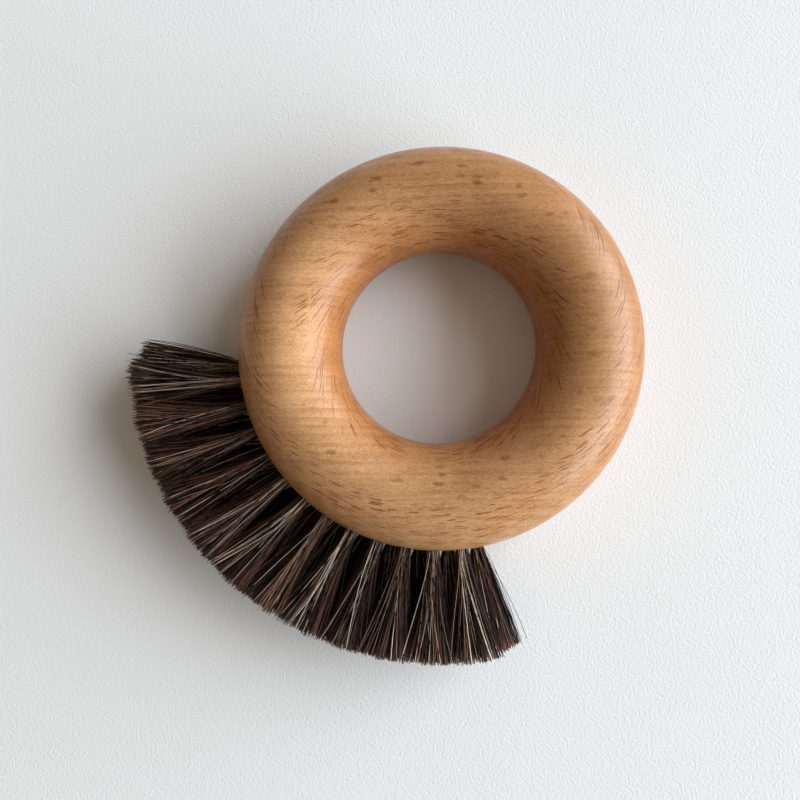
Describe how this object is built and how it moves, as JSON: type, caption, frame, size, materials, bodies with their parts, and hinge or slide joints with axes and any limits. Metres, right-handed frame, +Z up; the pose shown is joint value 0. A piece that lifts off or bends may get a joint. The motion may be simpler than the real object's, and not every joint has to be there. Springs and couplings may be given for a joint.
{
  "type": "table brush",
  "caption": "Ring-shaped table brush: a round turned beech ring with a finger hole, and a fan of dark horsehair tufts set in staggered rows in part of its rim.",
  "frame": {"origin": "centre of the bounding box's underside: on the table, half the bristle length from the ring's axis", "axes": "+Z up along the ring's axis, -Y from the ring's axis to the middle of the bristles"},
  "size_m": [0.1244, 0.1331, 0.0272],
  "materials": {
    "beech": "turned, sanded and oiled, satin",
    "horsehair": "coarse dark horsehair, trimmed",
    "anchor_steel": "flat galvanised wire"
  },
  "bodies": {
    "root": {"ring_handle": "beech", "tuft_upper_01": "horsehair", "tuft_upper_02": "horsehair", "tuft_upper_03": "horsehair", "tuft_upper_04": "horsehair", "tuft_upper_05": "horsehair", "tuft_upper_06": "horsehair", "tuft_upper_07": "horsehair", "tuft_upper_08": "horsehair", "tuft_upper_09": "horsehair", "tuft_upper_10": "horsehair", "tuft_upper_11": "horsehair", "tuft_upper_12": "horsehair", "tuft_lower_01": "horsehair", "tuft_lower_02": "horsehair", "tuft_lower_03": "horsehair", "tuft_lower_04": "horsehair", "tuft_lower_05": "horsehair", "tuft_lower_06": "horsehair", "tuft_lower_07": "horsehair", "tuft_lower_08": "horsehair", "tuft_lower_09": "horsehair", "tuft_lower_10": "horsehair", "tuft_lower_11": "horsehair", "tuft_lower_12": "horsehair", "tuft_lower_13": "horsehair", "anchor_upper_01": "anchor_steel", "anchor_upper_02": "anchor_steel", "anchor_upper_03": "anchor_steel", "anchor_upper_04": "anchor_steel", "anchor_upper_05": "anchor_steel", "anchor_upper_06": "anchor_steel", "anchor_upper_07": "anchor_steel", "anchor_upper_08": "anchor_steel", "anchor_upper_09": "anchor_steel", "anchor_upper_10": "anchor_steel", "anchor_upper_11": "anchor_steel", "anchor_upper_12": "anchor_steel", "anchor_lower_01": "anchor_steel", "anchor_lower_02": "anchor_steel", "anchor_lower_03": "anchor_steel", "anchor_lower_04": "anchor_steel", "anchor_lower_05": "anchor_steel", "anchor_lower_06": "anchor_steel", "anchor_lower_07": "anchor_steel", "anchor_lower_08": "anchor_steel", "anchor_lower_09": "anchor_steel", "anchor_lower_10": "anchor_steel", "anchor_lower_11": "anchor_steel", "anchor_lower_12": "anchor_steel", "anchor_lower_13": "anchor_steel"}
  },
  "joints": []
}
